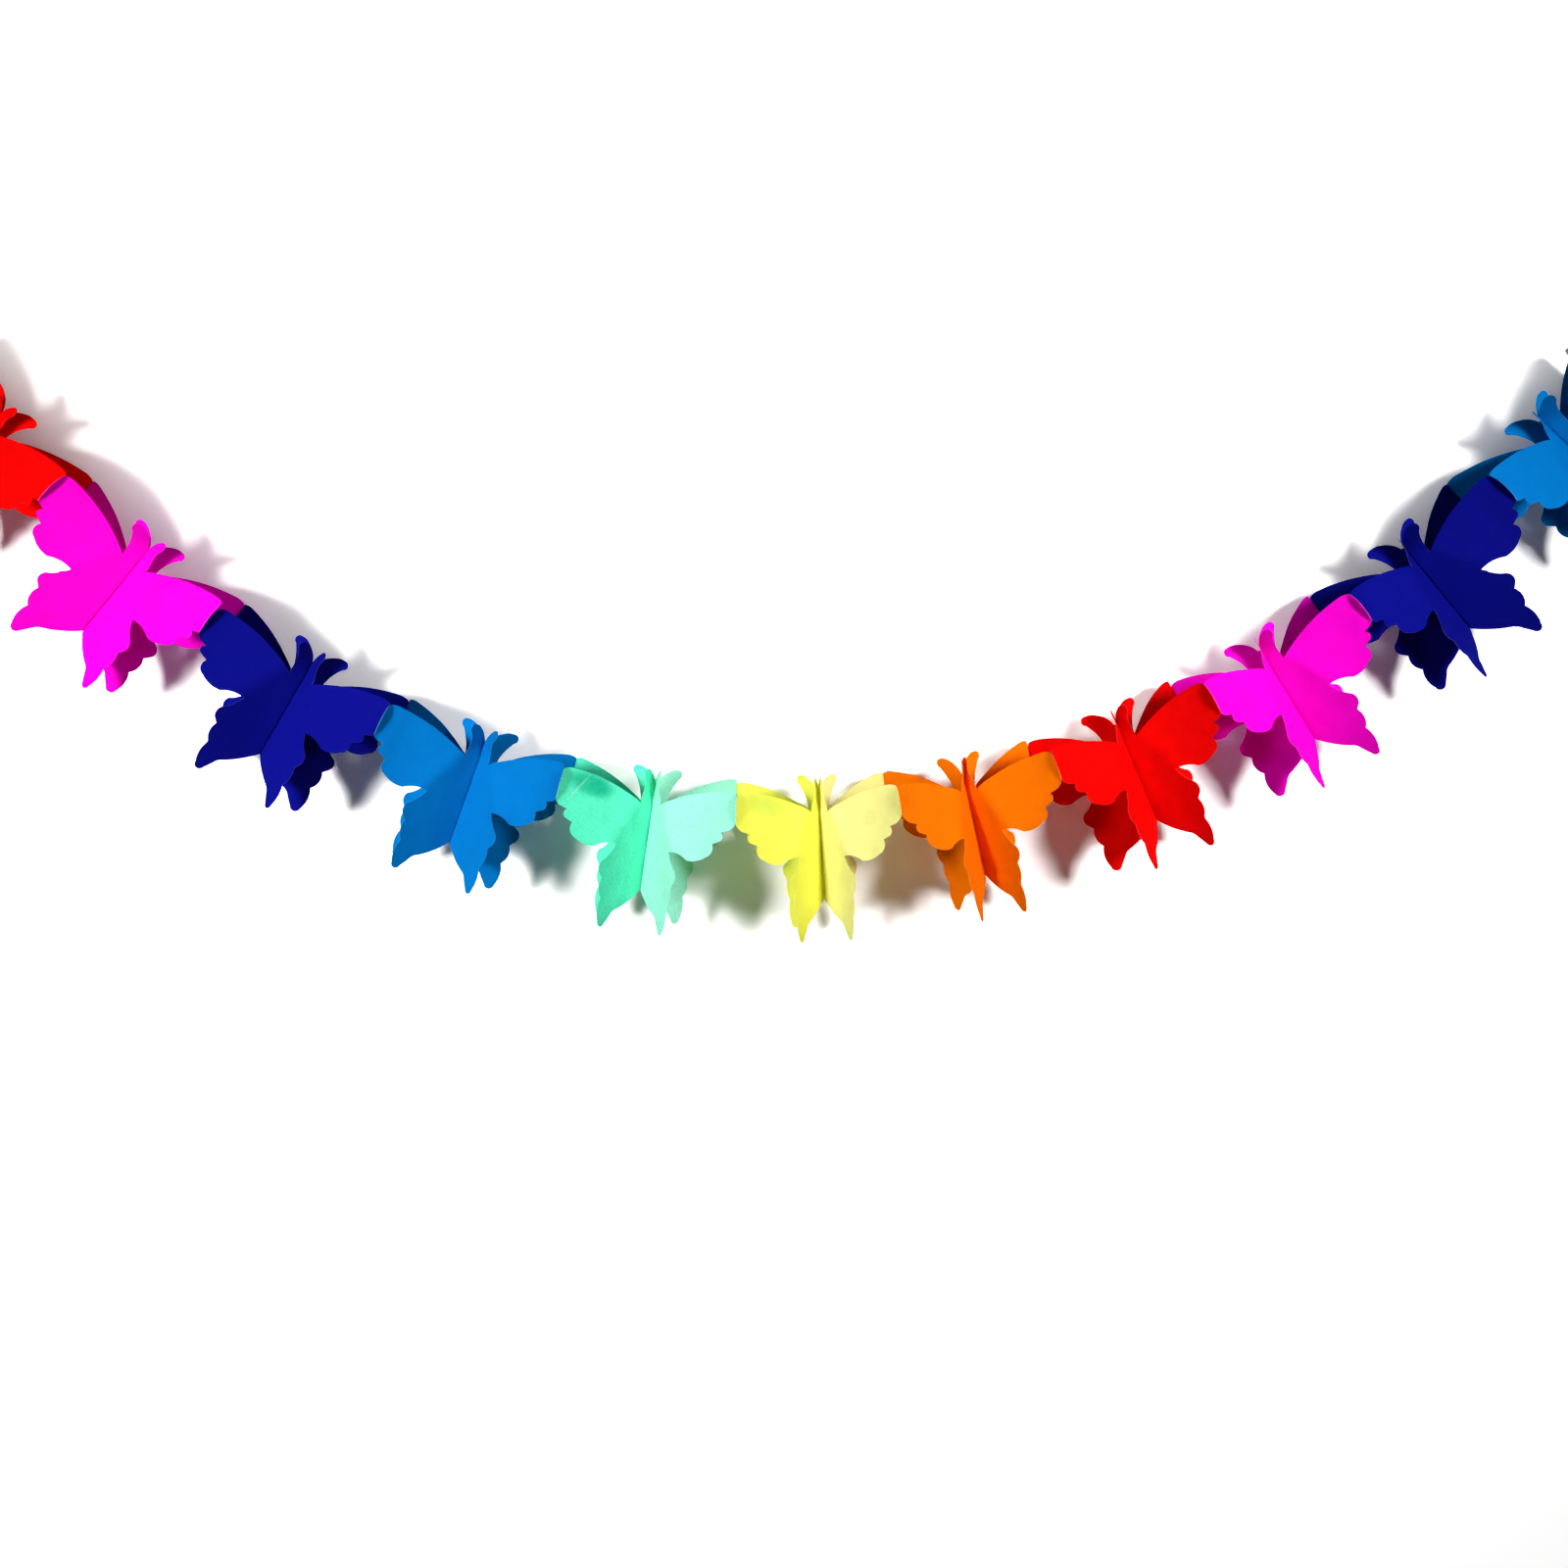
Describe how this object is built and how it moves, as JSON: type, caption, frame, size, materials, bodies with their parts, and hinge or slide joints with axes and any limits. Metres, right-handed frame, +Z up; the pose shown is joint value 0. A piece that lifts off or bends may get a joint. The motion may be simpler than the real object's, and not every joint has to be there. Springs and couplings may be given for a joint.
{
  "type": "paper butterfly garland",
  "caption": "Hanging garland of folded paper butterflies in bright colours, glued wing tip to wing tip, with a punched card at each end.",
  "frame": {"origin": "middle of the hanging hole in the left end card", "axes": "+X along the garland from the left end card to the right one, +Y towards the wall behind, +Z up"},
  "size_m": [1.4797, 0.1478, 0.4969],
  "materials": {
    "red_paper": "matte",
    "magenta_paper": "matte",
    "navy_paper": "matte",
    "light_blue_paper": "matte",
    "mint_paper": "matte",
    "yellow_paper": "matte",
    "orange_paper": "matte",
    "white_card": "matte"
  },
  "bodies": {
    "root": {"butterfly_01_red_left_sheet": "red_paper", "butterfly_01_red_right_sheet": "red_paper", "butterfly_02_magenta_left_sheet": "magenta_paper", "butterfly_02_magenta_right_sheet": "magenta_paper", "butterfly_03_navy_left_sheet": "navy_paper", "butterfly_03_navy_right_sheet": "navy_paper", "butterfly_04_light_blue_left_sheet": "light_blue_paper", "butterfly_04_light_blue_right_sheet": "light_blue_paper", "butterfly_05_mint_left_sheet": "mint_paper", "butterfly_05_mint_right_sheet": "mint_paper", "butterfly_06_yellow_left_sheet": "yellow_paper", "butterfly_06_yellow_right_sheet": "yellow_paper", "butterfly_07_orange_left_sheet": "orange_paper", "butterfly_07_orange_right_sheet": "orange_paper", "butterfly_08_red_left_sheet": "red_paper", "butterfly_08_red_right_sheet": "red_paper", "butterfly_09_magenta_left_sheet": "magenta_paper", "butterfly_09_magenta_right_sheet": "magenta_paper", "butterfly_10_navy_left_sheet": "navy_paper", "butterfly_10_navy_right_sheet": "navy_paper", "butterfly_11_light_blue_left_sheet": "light_blue_paper", "butterfly_11_light_blue_right_sheet": "light_blue_paper", "left_end_card": "white_card", "right_end_card": "white_card"}
  },
  "joints": []
}
